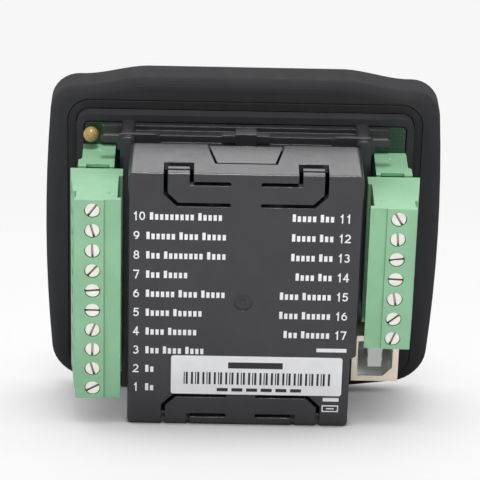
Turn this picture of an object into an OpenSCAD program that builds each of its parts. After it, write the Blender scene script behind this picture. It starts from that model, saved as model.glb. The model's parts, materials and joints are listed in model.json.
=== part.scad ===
// Genset controller for a panel cut-out: display and keys in front, pluggable terminals and cover behind.
// Origin at the centre of the cut-out in the panel's front plane. +Z is up, +Y points behind the panel.

/* [Front frame] */
// Greatest width of the front frame
frame_w = 93.4; // [88:0.1:110]
// Height of the front frame without the brow and the swell of the lower edge
frame_h = 76.4; // [75:0.1:95]
// How far the middle of that height lies above the middle of the cut-out
frame_rise = 0.8; // [0:0.1:2]
// How far each side swells outwards at mid height
side_bow = 1.8; // [0.2:0.1:2.2]
// How far the lower edge swells downwards in its middle
bottom_bow = 4; // [0.5:0.25:5]
// Rise of the brow above the upper corners
brow_rise = 2.25; // [1:0.25:5]
// Width of the flat top of the brow
brow_top_w = 45; // [40:1:60]
// Width of the brow where it meets the corners
brow_foot_w = 76; // [66:1:80]
// Radius of the upper corners
top_corner_r = 6; // [5:0.5:9]
// Radius of the lower corners
bottom_corner_r = 7; // [5:0.5:13]
// Depth of the frame in front of the panel
frame_depth = 9.5; // [8.5:0.25:12]
// Rounding of the front edge
front_round = 1.25; // [1:0.25:3]
// Width of the rounded band at the rear edge
rim_round_w = 2.4; // [1:0.1:2.8]
// Depth of the rounded band at the rear edge
rim_round_d = 2; // [1:0.1:3]
// Thickness of the front wall
front_wall = 2.5; // [2.1:0.1:3]

/* [Panel cut-out] */
// Width of the opening in the panel
cutout_w = 79; // [78:0.25:81]
// Height of the opening in the panel
cutout_h = 68.5; // [68:0.25:70]
// Room between the collar and the opening
collar_gap = 0.3; // [0.1:0.05:0.6]
// Thickness of the collar that passes through the panel
collar_wall = 1.7; // [1.2:0.1:2]
// Width of the gasket groove
groove_w = 2.2; // [1.6:0.1:2.6]
// Depth of the gasket groove
groove_d = 1.2; // [0.8:0.1:1.6]
// Side clearance of the gasket in its groove
gasket_gap = 0.2; // [0.1:0.05:0.3]
// How far the gasket stands proud of the rim
gasket_proud = 0.4; // [0.2:0.1:0.8]

/* [Circuit board] */
// Board thickness
board_t = 1.6; // [1:0.1:2]
// Rear surface of the board behind the panel plane
board_rear = 3.5; // [3:0.1:5]
// Gap between the board's edge and the collar
board_gap = 0.3; // [0.2:0.05:0.4]
// Width of the ledge that carries the board
board_ledge = 1.2; // [0.8:0.1:1.5]

/* [Rear cover] */
// Rear face of the cover behind the panel plane
cover_rear = 31; // [29:0.5:36]
// Wall thickness of the cover
cover_wall = 2; // [1.5:0.1:2.4]
// Corner radius of the cover
cover_r = 1.5; // [0.8:0.1:2]
// Rounding of the cover's rear edges
edge_r = 0.5; // [0.4:0.1:1.4]
// Room between the ears and the panel opening
insert_gap = 1.05; // [0.4:0.05:1.5]
// How far the ears stand above the cover's top
ear_rise = 0.8; // [0.6:0.1:1.6]
// Width of each ear, from its round end to the tab
ear_w = 10; // [7:0.5:12]
// Thickness of the ears and of the wall between them
ear_t = 1; // [0.8:0.1:1.6]
// Length of the tab outside each ear
tab_l = 3.6; // [2:0.2:4]
// Height of the tab
tab_h = 1.8; // [1.4:0.1:3]
// How far the tab lies below the ear's top
tab_drop = 0.4; // [0:0.1:0.8]
// Thickness of the foot that rests on the board, above and below the cover
foot_t = 1.5; // [1:0.1:2]
// Depth of the channel between the ears and the top wall
channel_d = 1.6; // [1:0.1:1.8]
// Where the channel ends and the top wall begins, behind the panel plane
channel_end = 15.5; // [14.5:0.25:17]
// Width of the side columns beside the cover
column_w = 2.4; // [1.5:0.1:2.6]
// Rear end of the side columns
column_rear = 13.6; // [12.5:0.1:14.5]
// Width of the slots round the sprung fingers
slot_w = 0.95; // [0.5:0.05:1.2]
// Root of each sprung finger, from the cover's middle
finger_root = 3.8; // [3:0.1:5]
// Inner edge of each finger's tip
finger_in = 12.2; // [11:0.1:13]
// Outer edge of each finger's tip
finger_out = 18; // [17:0.1:20]
// Lower slot of each finger, from the cover's edge
finger_low = 7.75; // [7:0.1:9]
// Upper slot of each finger, from the cover's edge
finger_high = 2.5; // [2.2:0.1:3]
// Front edge of the opening before each finger's tip, from the rear face
finger_reach = 5.8; // [5:0.1:6.5]
// Front end of each finger's tip, from the rear face
finger_tip = 3.7; // [3:0.1:4.2]
// Width of the groove across each finger's tip
tip_groove_w = 0.8; // [0.4:0.1:1]
// Depth of that groove
tip_groove_d = 0.6; // [0.3:0.1:0.8]
// Diameter of the round mark in the middle of the rear face
mark_d = 4.2; // [3:0.2:6]
// Depth of the round mark
mark_depth = 0.5; // [0.2:0.05:0.8]
// Diameter of the moulding point in the middle of the round mark
gate_d = 1.1; // [0.6:0.1:1.6]

/* [Latch arms] */
// Width of the latch head at its front edge
latch_front_w = 16.4; // [14:0.2:18]
// Width of the latch head at its rear edge
latch_rear_w = 13; // [10:0.2:15]
// Length of the latch head
latch_l = 8.3; // [6:0.1:9]
// Gap round the latch head
latch_gap = 0.5; // [0.2:0.05:0.7]
// Width of the latch neck
latch_neck_w = 8.4; // [6:0.2:9]
// Thickness of the latch neck
latch_neck_t = 1.2; // [0.9:0.1:1.4]

/* [Terminals] */
// Distance between two poles
pitch = 5.08; // [4.8:0.02:5.2]
// Poles of the long terminal block
ten_ways = 10; // [8:1:10]
// Poles of the short terminal block
seven_ways = 7; // [5:1:7]
// Height of the first pole of the long block
ten_first = 23.7; // [22:0.1:25]
// Height of the first pole of the short block
seven_first = 22.8; // [21:0.1:25]
// Block length beyond the end poles
pole_end = 2.65; // [2.5:0.05:3]
// Distance of the pin row from the board's edge
pin_edge = 3.1; // [2.9:0.05:3.4]
// Height of the header above the board
header_h = 12; // [11.5:0.1:13]
// Thickness of the header's floor
header_floor = 2.5; // [2:0.1:3]
// Thickness of the header's end walls
header_end = 0.8; // [0.7:0.05:0.9]
// Depth of the notch in the rim of the header's end walls
rim_notch = 1.2; // [0.6:0.1:2]
// Clearance between plug and header
plug_gap = 0.3; // [0.25:0.05:0.4]
// Gap between the header's rim and the plug's shoulder
shoulder_gap = 1; // [0.5:0.1:1.2]
// Length of the plug from its shoulder to its rear face
plug_l = 16.5; // [15.5:0.1:18]
// Reach of the plug from the pin row towards the cover
plug_in = 6.2; // [6:0.1:7]
// Gap between plug and cover
plug_cover_gap = 1.55; // [0.8:0.05:1.8]
// Reach of the plug's shoulder from the pin row outwards
plug_out = 5.85; // [5.5:0.05:6.5]
// Reach of the plug's rear edge from the pin row outwards
plug_out_rear = 4.2; // [4:0.05:5]
// Width of the marker groove along each plug's outer side
marker_w = 3.3; // [2:0.1:4.2]
// Depth of the marker groove
marker_d = 0.3; // [0.2:0.1:1]
// Distance of the marker groove from the plug's rear face
marker_edge = 1.2; // [1:0.1:2]
// Thickness of a contact pin
pin_t = 1; // [0.8:0.05:1.1]
// Diameter of a terminal screw's head
screw_head_d = 3.3; // [3:0.05:3.4]
// Diameter of a terminal screw's thread
screw_d = 2.5; // [2:0.05:2.6]
// Width of a terminal screw's slot
screw_slot = 0.5; // [0.4:0.05:0.7]
// Height of a wire entry, along the plug's length
entry_h = 5; // [4:0.1:5.5]
// Width of a wire entry, along the row
entry_w = 3.6; // [3:0.1:3.8]

/* [Port] */
// Width of the port's metal shell
port_w = 11; // [10.8:0.1:11.4]
// Height of the port's metal shell
port_h = 12.04; // [11.8:0.02:12.4]
// Length of the port above the board
port_l = 16; // [14:0.1:17]
// Thickness of the port's shell
port_t = 0.4; // [0.3:0.05:0.6]
// Width of the rim round the port's opening
port_rim = 1.4; // [1:0.1:1.6]
// Bevel of the two outer corners of the port's opening
port_bevel = 2.2; // [1.5:0.1:2.6]
// Width of the tongue in the port
tongue_w = 3.2; // [2.8:0.1:3.4]
// Height of the tongue in the port
tongue_h = 5.6; // [5:0.1:6]
// Gap between the short header and the port
port_gap = 4.2; // [3:0.1:6]

/* [Display and keys] */
// Width of the lens
lens_w = 62; // [56:0.5:68]
// Height of the lens
lens_h = 36; // [32:0.5:38]
// Thickness of the lens
lens_t = 1.6; // [1.2:0.1:1.8]
// Width of the ledge behind the lens
lens_ledge = 3.5; // [2:0.1:5]
// Height of the lens above the cut-out's middle
lens_z = 9; // [8:0.25:10]
// Thickness of the display glass
glass_t = 2.6; // [2:0.1:3]
// Width of the display's foot on the board
light_foot_w = 50; // [40:1:54]
// Width of a key
key_w = 12; // [10:0.25:13]
// Height of a key
key_h = 8; // [7:0.25:9]
// Distance between two keys
key_pitch = 17; // [15.5:0.25:17.5]
// Height of the key row, from the cut-out's middle
key_z = -24.5; // [-25:0.25:-23.5]
// How far a key stands proud of the front
key_proud = 1; // [0.9:0.1:1.5]
// Travel of a key
key_travel = 0.8; // [0.5:0.1:0.9]
// Clearance round a key
key_gap = 0.3; // [0.25:0.05:0.5]
// Width of the lip that keeps a key in the frame
key_lip = 0.9; // [0.6:0.1:1.2]
// Diameter of an indicator lamp
led_d = 3; // [2.5:0.1:3.2]

/* [Parts on the board] */
// Distance of each column of parts from the cover's side wall
column_room = 11; // [10.5:0.25:12]
// Width of a relay
relay_w = 15.5; // [12:0.5:16]
// Height of a relay
relay_h = 10.2; // [9:0.1:10.5]
// Length of a relay above the board
relay_l = 15; // [12:0.5:18]
// Number of relays
relays = 3; // [2:1:3]
// Diameter of a large capacitor
can_d = 8; // [6:0.5:8.5]
// Length of a large capacitor
can_l = 12; // [10:0.5:20]
// Gap between the two large capacitors
can_gap = 2; // [1:0.25:3]
// Width of the measuring transformer
coil_w = 13; // [11:0.5:14]
// Height of the measuring transformer
coil_h = 14; // [12:0.5:14.5]
// Length of the measuring transformer above the board
coil_l = 17; // [14:0.5:20]
// Diameter of the surge varistor
disc_d = 7; // [5:0.5:7.5]
// Thickness of the surge varistor
disc_t = 4; // [3:0.25:5]
// Width of the processor, without its leads
chip_w = 10; // [8:0.5:10.5]
// Leads along each side of the processor
chip_leads = 11; // [8:1:11]
// Length of the crystal's can
crystal_w = 11; // [8:0.5:12]
// Width of the crystal's can
crystal_h = 4.6; // [3.5:0.1:5]
// Height of the crystal's can
crystal_l = 3.5; // [2.5:0.1:4]
// Width of the inductor
inductor_w = 8; // [6:0.5:8.5]
// Height of the inductor above the board
inductor_l = 5; // [4:0.25:6]
// Diameter of the bead capacitor beside the long block
bead_d = 3.6; // [3:0.1:4.2]

/* [Label] */
// Width of the label
label_w = 39.5; // [30:0.5:42]
// Height of the label
label_h = 10.1; // [8:0.1:12]
// Thickness of the label
label_t = 0.12; // [0.1:0.01:0.2]
// Label's middle from the cover's middle, sideways
label_x = -3.5; // [-4:0.1:4]
// Label's middle from the cover's middle, upwards
label_z = -19.1; // [-19.2:0.1:-16]

/* [Hidden] */
$fn = 48;

// Overshoot of a cut past the face it opens
over = 1;
// How far one part of a piece reaches into the next
bite = 0.5;

// Frame, collar and board
front_y = -frame_depth;
wall_y = front_y + front_wall;
collar_w = cutout_w - 2 * collar_gap;
collar_h = cutout_h - 2 * collar_gap;
collar_r = 3;
nest_w = collar_w - 2 * collar_wall;
nest_h = collar_h - 2 * collar_wall;
nest_r = collar_r - collar_wall;
cave_w = nest_w - 2 * board_ledge;
cave_h = nest_h - 2 * board_ledge;
board_w = nest_w - 2 * board_gap;
board_h = nest_h - 2 * board_gap;
board_front = board_rear - board_t;

arc_steps = 8;
brow_steps = 44;
side_steps = 8;
ring_step = 18;
arm_room = 0.4;
arm_root = 4;

// Terminal rows
pin_x = board_w / 2 - pin_edge;
ten_l = block_length(ten_ways);
seven_l = block_length(seven_ways);
ten_z = ten_first - (ten_ways - 1) * pitch / 2;
seven_z = seven_first - (seven_ways - 1) * pitch / 2;
header_in = 4.1;
header_out = 3.4;
header_lip = 0.8;
header_lip_h = 3.4;
header_wall = 1.1;
rim_y = board_rear + header_h;
floor_y = board_rear + header_floor;
shoulder_y = rim_y + shoulder_gap;
plug_rear = shoulder_y + plug_l;
nose_in = header_in - header_wall - plug_gap;
nose_out = header_out - header_wall - plug_gap;
nose_y = floor_y + plug_gap;
strip_in = 2.4;
strip_step = 0.4;
side_recess = 0.85;
side_shoulder = 3.8;
side_tab = 1.2;
pole_wall = 0.9;
cage_gap = 0.15;
cell_w = pitch - pole_wall;
cell_in = 2.2;
cell_out = 2.3;
cell_floor = 3;
cage_floor = 1;
cage_top = 2.4;
cell_y0 = shoulder_y + cell_floor;
entry_y0 = cell_y0 + cage_floor;
cell_y1 = entry_y0 + entry_h + cage_top;
cage_side = 0.7;
entry_step = 0.4;
screw_x = 0.2;
screw_play = 0.3;
screw_hole_d = screw_head_d + screw_play;
thread_play = 0.1;
screw_sink = 0.35;
screw_head_h = 1.6;
screw_reach = 3.4;
screw_slot_d = 0.7;
// How far each screw is turned, from the top pole down
ten_turn = [55, 105, 92, 50, 5, 0, 70, 88, 105, 30];
seven_turn = [120, 95, 8, -3, 100, 40, 70];
sleeve_bore = pin_t + 2 * plug_gap;
sleeve_t = 0.25;
sleeve_play = 0.05;
sleeve_w = sleeve_bore + 2 * sleeve_t;
sleeve_hole = sleeve_w + 2 * sleeve_play;
sleeve_sink = 0.6;
pin_sink = 2.5;
pin_tip = rim_y - pin_sink;
pin_tail = 1.7;
pin_play = 0.05;
plating_play = 0.2;
dot_d = 1.6;
dot_rise = 0.3;
plug_dot_edge = 3.9;
plug_dot_in = 3.2;
header_dot_edge = 9;
header_dot_in = 0.6;

// Rear cover
cover_x = pin_x - plug_in - plug_cover_gap;
cover_w = 2 * cover_x;
ear_top = cutout_h / 2 - insert_gap;
cover_top = ear_top - ear_rise;
cover_h = 2 * cover_top;
channel_z = cover_top - channel_d;
front_roof = channel_z - cover_wall;
column_x = cover_x + column_w;
column_rise = 0.4;
column_top = cover_top + column_rise;
ear_sink = 1.2;
ear_y1 = column_rear - ear_sink;
ear_y0 = ear_y1 - ear_t;
wall_y0 = ear_y0 - ear_t;
ear_over = 0.8;
ear_end = column_x + ear_over;
ear_in = ear_end - ear_w;
ear_r = 1.5;
web_sink = 0.7;
web_top = ear_top - web_sink;
lug_w = 11;
lug_h = 1.7;
knob_w = 4.8;
knob_h = 2.6;
knob_rise = 0.6;
knob_proud = 0.5;
tab_r = 0.85;
foot_top = nest_h / 2 - board_gap;
finger_bevel = 2.7;
label_r = 0.6;

// Latch arms
latch_sink = 1.3;
latch_lead = 0.5;
latch_y = channel_end + latch_sink;
neck_rise = 0.1;
neck_z = front_roof + neck_rise;
neck_l = 2.2;
neck_end = latch_y + neck_l;
neck_slack = 0.4;
root_y = board_front - arm_root;

// Port
port_inset = 2.5;
port_x = port_inset - pin_x;
port_z = seven_z - seven_l / 2 - port_gap - port_h / 2;
port_end = board_rear + port_l;
port_floor = 3.5;
port_play = 0.05;
tongue_sink = 1.2;
contact_t = 0.25;
contact_w = 1;
contact_pitch = 2.5;
contact_sink = 0.8;
relief_d = 1.4;
relief_gap = 0.2;
relief_z = port_z + port_h / 2 + relief_gap;
relief_slope = 0.8;
low_ear_end = cover_x - relief_d - relief_slope;

// Display and keys
lens_y = front_y + lens_t;
sight_w = lens_w - 2 * lens_ledge;
sight_h = lens_h - 2 * lens_ledge;
glass_gap = 0.3;
glass_y = wall_y + glass_gap;
light_y = glass_y + glass_t;
tail_gap = 0.3;
light_end = board_front - pin_tail - tail_gap;
ribbon_w = 24;
ribbon_t = 0.3;
ribbon_sink = 0.5;
keys = 4;
lens_play = 0.2;
lip_y = wall_y + key_gap;
lip_t = 1;
key_r = 2;
stem_w = 4.5;
switch_w = 6;
switch_h = 3.5;
switch_y = board_front - switch_h;
plunger_d = 3.3;
plunger_in = 1.2;
plunger_bore = plunger_d + 2 * key_gap;
stem_play = 0.2;
plunger_y = switch_y - key_travel - stem_play;
led_z = (lens_z - lens_h / 2 + key_z + key_h / 2) / 2;
led_pitch = 17;
led_gap = 0.15;
led_skirt = 0.4;
led_skirt_t = 1;
led_leg = 0.5;
led_leg_pitch = 1.5;

// Parts on the board, in two columns with equal gaps between the cover's roof and floor
left_x = cover_wall + column_room - cover_x;
right_x = cover_x - cover_wall - column_room;
lead_l = 1;
lead_w = 0.4;
lead_t = 0.7;
lead_pitch = 0.8;
lead_in = 0.2;
chip_stand = 0.1;
chip_t = 1.4;
chip_span = chip_w + 2 * lead_l;
left_gap = (2 * front_roof - disc_d - coil_h - chip_span - crystal_h - inductor_w) / 6;
disc_z = front_roof - left_gap - disc_d / 2;
coil_z = disc_z - disc_d / 2 - left_gap - coil_h / 2;
chip_z = coil_z - coil_h / 2 - left_gap - chip_span / 2;
crystal_z = chip_z - chip_span / 2 - left_gap - crystal_h / 2;
inductor_z = crystal_z - crystal_h / 2 - left_gap - inductor_w / 2;
right_gap = (2 * front_roof - can_d - relays * relay_h) / (relays + 2);
can_z = front_roof - right_gap - can_d / 2;
relay_z = can_z - can_d / 2 - right_gap - relay_h / 2;
part_r = 1;
flange_t = 1;
core_d = inductor_w - 3;
disc_stand = 2;
disc_leg = 0.8;
disc_leg_pitch = 5;
bead_gap = 1.7;
bead_out = 1.6;
bead_stand = 2.2;
bead_leg = 0.6;
bead_leg_pitch = 1.8;

// Length of a terminal block of that many poles
function block_length(ways) = (ways - 1) * pitch + 2 * pole_end;

// Height of one pole, counted down from the first
function pole_z(first, i) = first - i * pitch;

// Smooth step from 0 to 1
function ease(t) = let (c = min(max(t, 0), 1)) c * c * (3 - 2 * c);

// A quarter arc and the inner points of a straight stretch
function corner(x, z, r, from) =
    [for (a = [from:90 / arc_steps:from + 90]) [x + r * cos(a), z + r * sin(a)]];
function stretch(a, b, steps) = [for (i = [1:steps - 1]) a + (b - a) * i / steps];

// The frame's outline: a rounded rectangle with swollen sides, a raised brow and a swollen lower edge
function brow(p) = p.y > 0 ? brow_rise * ease((brow_foot_w - 2 * abs(p.x)) / (brow_foot_w - brow_top_w)) : 0;
function belly(p, w) = p.y < 0 ? bottom_bow * (1 - pow(p.x / w, 2)) : 0;
function shaped(p, w, h) = [
    p.x * (1 + side_bow / w * (1 - pow(p.y / h, 2))),
    p.y + frame_rise + brow(p) - belly(p, w)
];
function frame_outline(inset) =
    let (
        w = frame_w / 2 - side_bow - inset,
        h = frame_h / 2 - inset,
        rt = top_corner_r - inset,
        rb = bottom_corner_r - inset
    )
    [for (p = concat(
        corner(w - rt, h - rt, rt, 0),
        stretch([w - rt, h], [rt - w, h], brow_steps),
        corner(rt - w, h - rt, rt, 90),
        stretch([-w, h - rt], [-w, rb - h], side_steps),
        corner(rb - w, rb - h, rb, 180),
        stretch([rb - w, -h], [w - rb, -h], side_steps),
        corner(w - rb, rb - h, rb, 270),
        stretch([w, rb - h], [w, h - rt], side_steps)
    )) shaped(p, w, h)];

// Inset and depth of each ring of the frame, from its front edge round to its rear edge
front_rings =
    [for (a = [90:-ring_step:0]) [front_round * (1 - cos(a)), front_y + front_round * (1 - sin(a))]];
rear_rings =
    [for (a = [0:ring_step:90]) [rim_round_w * (1 - cos(a)), rim_round_d * (sin(a) - 1)]];

// A profile drawn in X and Z, drawn out along Y
module along_y(from, to) {
    translate([0, to, 0]) rotate([90, 0, 0]) linear_extrude(height = to - from) children();
}

// A profile drawn in X and Y, drawn out along Z
module along_z(from, to) {
    translate([0, 0, from]) linear_extrude(height = to - from) children();
}

// A block between two corners
module block(low, high) {
    translate(low) cube(high - low);
}

// A round rod along Y
module rod_y(x, z, d, from, to) {
    translate([x, from, z]) rotate([-90, 0, 0]) cylinder(d = d, h = to - from);
}

// A rectangle with round corners
module round_rect(w, h, r) {
    square([w - 2 * r, h], center = true);
    square([w, h - 2 * r], center = true);
    for (x = [r - w / 2, w / 2 - r], z = [r - h / 2, h / 2 - r]) translate([x, z]) circle(r);
}

// Straight bands of one width through a row of points
module band(points, w) {
    for (p = points) translate(p) circle(d = w);
    for (i = [1:len(points) - 1]) {
        run = points[i] - points[i - 1];
        translate((points[i] + points[i - 1]) / 2) rotate(atan2(run.y, run.x)) {
            square([norm(run), w], center = true);
        }
    }
}

// The same thing at the top and the bottom, and on both sides
module top_and_bottom() {
    children();
    mirror([0, 0, 1]) children();
}
module both_sides() {
    children();
    mirror([1, 0, 0]) children();
}

// Skin through rings of equal point counts
module loft(rings) {
    n = len(rings[0]);
    last = len(rings) - 1;
    sides = [for (k = [0:last - 1], i = [0:n - 1]) let (j = (i + 1) % n)
        [k * n + i, k * n + j, (k + 1) * n + j, (k + 1) * n + i]];
    caps = [[for (i = [n - 1:-1:0]) i], [for (i = [0:n - 1]) last * n + i]];
    polyhedron(points = [for (ring = rings, p = ring) p], faces = concat(sides, caps), convexity = 4);
}

// Front frame
module frame_blank() {
    turn = concat(front_rings, rear_rings, [[rim_round_w, over]]);
    difference() {
        loft([for (r = turn) [for (p = frame_outline(r[0])) [p.x, r[1], p.y]]]);
        block([-frame_w, 0, -frame_h], [frame_w, 2 * over, frame_h]);
    }
}

module groove() {
    difference() {
        round_rect(collar_w + 2 * groove_w, collar_h + 2 * groove_w, collar_r + groove_w);
        round_rect(collar_w, collar_h, collar_r);
    }
}

module latch_arm() {
    half = latch_neck_w / 2;
    block([-half, root_y, neck_z], [half, neck_end, neck_z + latch_neck_t]);
    block([-half, root_y, neck_z], [half, board_front - arm_room, cave_h / 2 + bite]);
    block([-half, latch_y, neck_z], [half, neck_end, cover_top]);
    along_z(cover_top - cover_wall, cover_top) latch_outline(latch_y - latch_lead, 0);
}

module latch_outline(from, gap) {
    front = latch_front_w / 2 + gap;
    rear = latch_rear_w / 2 + gap;
    end = latch_y + latch_l + gap;
    polygon([[-front, from], [front, from], [front, latch_y], [rear, end], [-rear, end], [-front, latch_y]]);
}

function key_x(i) = (i - (keys - 1) / 2) * key_pitch;

module key_places() {
    for (i = [0:keys - 1]) translate([key_x(i), 0, key_z]) children();
}

module led_places() {
    for (x = [-led_pitch, 0, led_pitch]) translate([x, 0, led_z]) children();
}

module front_frame() color("#3a3a3d") {
    difference() {
        union() {
            frame_blank();
            along_y(-groove_d - over, board_rear) round_rect(collar_w, collar_h, collar_r);
        }
        along_y(-groove_d, over) groove();
        along_y(wall_y, board_front) round_rect(cave_w, cave_h, nest_r);
        along_y(board_front, board_rear + over) round_rect(nest_w, nest_h, nest_r);
        translate([0, 0, lens_z]) {
            along_y(front_y - over, lens_y) round_rect(lens_w, lens_h, key_r);
            along_y(front_y, wall_y + over) round_rect(sight_w, sight_h, key_r);
        }
        key_places() along_y(front_y - over, wall_y + over) {
            round_rect(key_w + 2 * key_gap, key_h + 2 * key_gap, key_r);
        }
        led_places() rod_y(0, 0, led_d + 2 * led_gap, front_y - over, wall_y + over);
    }
    top_and_bottom() latch_arm();
}

module panel_gasket() color("#1c1c1e") {
    along_y(-groove_d, gasket_proud) difference() {
        grow = 2 * (groove_w - gasket_gap);
        round_rect(collar_w + grow, collar_h + grow, collar_r + grow / 2);
        round_rect(collar_w + 2 * gasket_gap, collar_h + 2 * gasket_gap, collar_r + gasket_gap);
    }
}

// Display and indicator lamps
module lens_window() color("#9fb0b4", 0.5) {
    w = lens_w - lens_play;
    h = lens_h - lens_play;
    translate([0, 0, lens_z]) along_y(front_y, lens_y) round_rect(w, h, key_r - lens_play / 2);
}

module lcd_glass() color("#7f9a86") {
    block([-lens_w / 2, glass_y, lens_z - lens_h / 2], [lens_w / 2, light_y, lens_z + lens_h / 2]);
}

module lcd_backlight() color("#e6e6e2") {
    low = lens_z - lens_h / 2;
    high = lens_z + lens_h / 2;
    block([-lens_w / 2, light_y, low], [lens_w / 2, light_end, high]);
    block([-light_foot_w / 2, light_end - bite, low], [light_foot_w / 2, board_front, high]);
}

module lcd_ribbon() color("#c08a3a") {
    low = lens_z - lens_h / 2;
    block([-ribbon_w / 2, glass_y + ribbon_sink, low - ribbon_t], [ribbon_w / 2, board_front, low]);
}

module status_leds() color("#d8442c") {
    skirt_y = wall_y + led_gap;
    led_places() {
        rod_y(0, 0, led_d, front_y + led_d / 2, skirt_y);
        translate([0, front_y + led_d / 2, 0]) sphere(d = led_d);
        rod_y(0, 0, led_d + 2 * led_skirt, skirt_y, skirt_y + led_skirt_t);
        for (side = [-1, 1]) rod_y(0, side * led_leg_pitch / 2, led_leg, skirt_y, board_front);
    }
}

// Keys, each with the plunger of its switch
module key_cap(i) {
    translate([key_x(i), 0, key_z]) {
        along_y(front_y - key_proud, lip_y) round_rect(key_w, key_h, key_r - key_gap);
        along_y(lip_y, lip_y + lip_t) round_rect(key_w + 2 * key_lip, key_h + 2 * key_lip, key_r);
        along_y(lip_y, plunger_y) square(stem_w, center = true);
    }
}

module plunger(i) {
    rod_y(key_x(i), key_z, plunger_d, plunger_y, switch_y + plunger_in);
}

module stop_key() color("#b3261e") key_cap(0);
module mode_key() color("#55585c") key_cap(1);
module page_key() color("#55585c") key_cap(2);
module start_key() color("#2f8f46") key_cap(3);
module stop_plunger() color("#202022") plunger(0);
module mode_plunger() color("#202022") plunger(1);
module page_plunger() color("#202022") plunger(2);
module start_plunger() color("#202022") plunger(3);

module key_switches() color("#8d8d90") {
    key_places() difference() {
        along_y(switch_y, board_front) square(switch_w, center = true);
        rod_y(0, 0, plunger_bore, switch_y - over, switch_y + plunger_in + key_travel + key_gap);
    }
}

// Circuit board
module pole_places(side, first, ways) {
    for (i = [0:ways - 1]) translate([side * pin_x, 0, pole_z(first, i)]) children();
}

module latch_notch() {
    half = latch_neck_w / 2 + neck_slack;
    block([-half, board_front - over, neck_z - neck_slack], [half, board_rear + over, board_h]);
}

module main_board() color("#1d4a2e") {
    hole_d = pin_t * sqrt(2) + plating_play;
    difference() {
        along_y(board_front, board_rear) round_rect(board_w, board_h, nest_r - board_gap);
        top_and_bottom() latch_notch();
        pole_places(1, ten_first, ten_ways) rod_y(0, 0, hole_d, board_front - over, board_rear + over);
        pole_places(-1, seven_first, seven_ways) rod_y(0, 0, hole_d, board_front - over, board_rear + over);
    }
}

// Rear cover
module cover_block() {
    difference() {
        along_y(board_rear, cover_rear) round_rect(cover_w, cover_h, cover_r);
        top_and_bottom() {
            block([-cover_w, board_rear - over, channel_z], [cover_w, channel_end, cover_h]);
            rear_edge(cover_top, cover_w);
        }
        both_sides() rotate([0, 90, 0]) rear_edge(cover_x, cover_h);
    }
}

// What the rounding takes off the rear edge at that height, over that length
module rear_edge(height, length) {
    difference() {
        translate([-length, cover_rear - edge_r, height - edge_r]) {
            cube([2 * length, edge_r + over, edge_r + over]);
        }
        translate([-length - over, cover_rear - edge_r, height - edge_r]) {
            rotate([0, 90, 0]) cylinder(r = edge_r, h = 2 * (length + over));
        }
    }
}

module column() {
    along_y(board_rear, column_rear) translate([cover_x + (column_w - 2 * bite) / 2, 0]) {
        round_rect(column_w + 2 * bite, 2 * column_top, column_w / 2);
    }
}

module ear(end) {
    along_y(ear_y0, ear_y1) translate([(ear_in + end) / 2, (ear_top + front_roof) / 2]) {
        round_rect(end - ear_in, ear_top - front_roof, ear_r);
    }
}

module ear_tab() {
    along_y(ear_y0, ear_y1) translate([ear_end + tab_l / 2 - ear_r, ear_top - tab_drop - tab_h / 2]) {
        round_rect(tab_l + 2 * ear_r, tab_h, tab_r);
    }
}

module ear_wall(end) {
    block([-end, wall_y0, front_roof], [end, ear_y0, web_top]);
    block([-lug_w / 2, wall_y0, ear_top - lug_h], [lug_w / 2, ear_y1, ear_top]);
    block([-knob_w / 2, wall_y0 - ear_t, front_roof], [knob_w / 2, wall_y0, ear_top]);
    block(
        [-knob_w / 2, wall_y0 - ear_t, ear_top - knob_h],
        [knob_w / 2, ear_y1 + knob_proud, ear_top + knob_rise]
    );
}

// Foot of the cover on the board
module cover_foot(end) {
    block([-end, board_rear, front_roof], [end, board_rear + foot_t, foot_top]);
}

module finger_slots() {
    low = cover_top - finger_low;
    high = cover_top - finger_high;
    along_y(cover_rear - cover_wall - over, cover_rear + over) {
        band([
            [finger_root, low],
            [finger_out - finger_bevel, low],
            [finger_out, low + finger_bevel],
            [finger_out, cover_h]
        ], slot_w);
        band([[finger_root, high], [finger_in, high], [finger_in, cover_h]], slot_w);
    }
    left = finger_in - slot_w / 2;
    right = finger_out + slot_w / 2;
    reach = cover_rear - finger_reach;
    along_z(cover_top - cover_wall - over, cover_h) {
        for (x = [left, right - slot_w]) translate([x, reach]) square([slot_w, finger_reach + over]);
        translate([left, reach]) square([right - left, finger_reach - finger_tip]);
    }
    middle = cover_rear - (finger_tip + edge_r) / 2;
    block(
        [left, middle - tip_groove_w / 2, cover_top - tip_groove_d],
        [right, middle + tip_groove_w / 2, cover_h]
    );
}

module cover_hollow() {
    inner = cover_w - 2 * cover_wall;
    step = relief_z + cover_wall;
    roof_y = channel_end + over;
    difference() {
        union() {
            along_y(board_rear - over, roof_y) square([inner, 2 * front_roof], center = true);
            along_y(roof_y, cover_rear - cover_wall) {
                square([inner, cover_h - 2 * cover_wall], center = true);
            }
        }
        block(
            [-cover_x, board_rear - 2 * over, -cover_h],
            [relief_d + cover_wall - cover_x, cover_rear, step]
        );
    }
}

module port_relief() {
    left = -cover_x - column_w - over;
    side = relief_d - cover_x;
    from = channel_end - bite;
    to = cover_rear + over;
    along_y(board_rear - over, to) polygon([
        [left, relief_z + relief_slope],
        [-cover_x, relief_z + relief_slope],
        [side, relief_z],
        [side, -cover_h],
        [left, -cover_h]
    ]);
    difference() {
        block([side - over, from, -cover_h], [side + cover_r, to, cover_r - cover_top]);
        rod_y(side + cover_r, cover_r - cover_top, 2 * cover_r, from - over, to + over);
    }
}

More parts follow.
